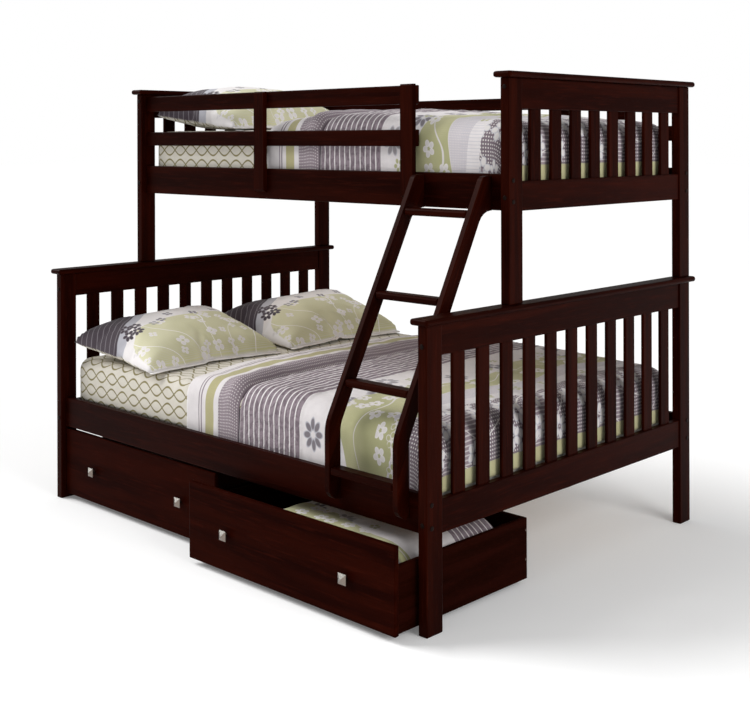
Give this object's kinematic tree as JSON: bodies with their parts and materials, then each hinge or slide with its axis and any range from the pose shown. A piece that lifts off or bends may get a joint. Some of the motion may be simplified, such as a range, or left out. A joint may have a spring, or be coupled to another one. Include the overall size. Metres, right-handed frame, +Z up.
{
  "type": "bunk bed",
  "caption": "Slat-ended bunk bed, narrow bunk over wide, with guard rails, a leaning ladder, wheeled drawers below that roll out, mattresses, quilts and pillows.",
  "frame": {"origin": "on the floor at the middle of the lower bed, under the foot of its centre leg", "axes": "+X from the head end to the foot end, +Z up, -Y the side with the ladder and the drawers"},
  "size_m": [2.032, 1.6293, 1.652],
  "materials": {
    "espresso_wood": "satin",
    "plain_pine": "matte",
    "drawer_board": "satin",
    "brushed_nickel": "satin",
    "black_plastic": "satin",
    "mattress_cover": "matte",
    "quilt_cover": "matte",
    "pillow_cover": "matte"
  },
  "bodies": {
    "bed_frame": {"lower_foot_post_front": "espresso_wood", "lower_foot_post_rear": "espresso_wood", "lower_foot_panel": "espresso_wood", "lower_foot_cap": "espresso_wood", "upper_foot_post_front": "espresso_wood", "upper_foot_post_rear": "espresso_wood", "upper_foot_panel": "espresso_wood", "upper_foot_cap": "espresso_wood", "lower_head_post_front": "espresso_wood", "lower_head_post_rear": "espresso_wood", "lower_head_panel": "espresso_wood", "lower_head_cap": "espresso_wood", "upper_head_post_front": "espresso_wood", "upper_head_post_rear": "espresso_wood", "upper_head_panel": "espresso_wood", "upper_head_cap": "espresso_wood", "lower_rail_front": "espresso_wood", "lower_rail_rear": "espresso_wood", "upper_rail_front": "espresso_wood", "upper_rail_rear": "espresso_wood", "lower_slats": "plain_pine", "upper_slats": "plain_pine", "centre_beam": "espresso_wood", "guard_top_board": "espresso_wood", "guard_middle_board": "espresso_wood", "guard_middle_upright": "espresso_wood", "guard_end_upright": "espresso_wood", "rear_guard": "espresso_wood", "ladder_stringer_left": "espresso_wood", "ladder_stringer_right": "espresso_wood", "ladder_tread_1": "espresso_wood", "ladder_tread_2": "espresso_wood", "ladder_tread_3": "espresso_wood", "ladder_tread_4": "espresso_wood", "lower_mattress": "mattress_cover", "upper_mattress": "mattress_cover", "lower_quilt": "quilt_cover", "upper_quilt": "quilt_cover", "lower_pillow_front": "pillow_cover", "lower_pillow_rear": "pillow_cover", "upper_pillow": "pillow_cover"},
    "drawer_left": {"drawer_left_front": "espresso_wood", "drawer_left_box": "drawer_board", "drawer_left_bottom": "drawer_board", "drawer_left_knob_left": "brushed_nickel", "drawer_left_knob_right": "brushed_nickel"},
    "drawer_left_wheel_front_left": {"drawer_left_wheel_front_left": "black_plastic"},
    "drawer_left_wheel_front_right": {"drawer_left_wheel_front_right": "black_plastic"},
    "drawer_left_wheel_back_left": {"drawer_left_wheel_back_left": "black_plastic"},
    "drawer_left_wheel_back_right": {"drawer_left_wheel_back_right": "black_plastic"},
    "drawer_right": {"drawer_right_front": "espresso_wood", "drawer_right_box": "drawer_board", "drawer_right_bottom": "drawer_board", "drawer_right_knob_left": "brushed_nickel", "drawer_right_knob_right": "brushed_nickel", "stored_bedding": "quilt_cover"},
    "drawer_right_wheel_front_left": {"drawer_right_wheel_front_left": "black_plastic"},
    "drawer_right_wheel_front_right": {"drawer_right_wheel_front_right": "black_plastic"},
    "drawer_right_wheel_back_left": {"drawer_right_wheel_back_left": "black_plastic"},
    "drawer_right_wheel_back_right": {"drawer_right_wheel_back_right": "black_plastic"}
  },
  "joints": [
    {"name": "drawer_left_slide", "type": "slide", "parent": "bed_frame", "child": "drawer_left", "axis": [0, -1, 0], "range_m": [0, 0.5]},
    {"name": "drawer_left_wheel_front_left_spin", "type": "hinge", "parent": "drawer_left", "child": "drawer_left_wheel_front_left", "pos_m": [-0.841, -0.62, 0.0205], "axis": [1, 0, 0], "continuous": true},
    {"name": "drawer_left_wheel_front_right_spin", "type": "hinge", "parent": "drawer_left", "child": "drawer_left_wheel_front_right", "pos_m": [-0.121, -0.62, 0.0205], "axis": [1, 0, 0], "continuous": true},
    {"name": "drawer_left_wheel_back_left_spin", "type": "hinge", "parent": "drawer_left", "child": "drawer_left_wheel_back_left", "pos_m": [-0.841, -0.18, 0.0205], "axis": [1, 0, 0], "continuous": true},
    {"name": "drawer_left_wheel_back_right_spin", "type": "hinge", "parent": "drawer_left", "child": "drawer_left_wheel_back_right", "pos_m": [-0.121, -0.18, 0.0205], "axis": [1, 0, 0], "continuous": true},
    {"name": "drawer_right_slide", "type": "slide", "parent": "bed_frame", "child": "drawer_right", "axis": [0, -1, 0], "range_m": [-0.115, 0.385]},
    {"name": "drawer_right_wheel_front_left_spin", "type": "hinge", "parent": "drawer_right", "child": "drawer_right_wheel_front_left", "pos_m": [0.121, -0.735, 0.0205], "axis": [1, 0, 0], "continuous": true},
    {"name": "drawer_right_wheel_front_right_spin", "type": "hinge", "parent": "drawer_right", "child": "drawer_right_wheel_front_right", "pos_m": [0.841, -0.735, 0.0205], "axis": [1, 0, 0], "continuous": true},
    {"name": "drawer_right_wheel_back_left_spin", "type": "hinge", "parent": "drawer_right", "child": "drawer_right_wheel_back_left", "pos_m": [0.121, -0.295, 0.0205], "axis": [1, 0, 0], "continuous": true},
    {"name": "drawer_right_wheel_back_right_spin", "type": "hinge", "parent": "drawer_right", "child": "drawer_right_wheel_back_right", "pos_m": [0.841, -0.295, 0.0205], "axis": [1, 0, 0], "continuous": true}
  ],
  "couplings": [
    {"joint": "drawer_left_wheel_front_left_spin", "follows": "drawer_left_slide", "rad_per_m": 50},
    {"joint": "drawer_left_wheel_front_right_spin", "follows": "drawer_left_slide", "rad_per_m": 50},
    {"joint": "drawer_left_wheel_back_left_spin", "follows": "drawer_left_slide", "rad_per_m": 50},
    {"joint": "drawer_left_wheel_back_right_spin", "follows": "drawer_left_slide", "rad_per_m": 50},
    {"joint": "drawer_right_wheel_front_left_spin", "follows": "drawer_right_slide", "rad_per_m": 50},
    {"joint": "drawer_right_wheel_front_right_spin", "follows": "drawer_right_slide", "rad_per_m": 50},
    {"joint": "drawer_right_wheel_back_left_spin", "follows": "drawer_right_slide", "rad_per_m": 50},
    {"joint": "drawer_right_wheel_back_right_spin", "follows": "drawer_right_slide", "rad_per_m": 50}
  ]
}
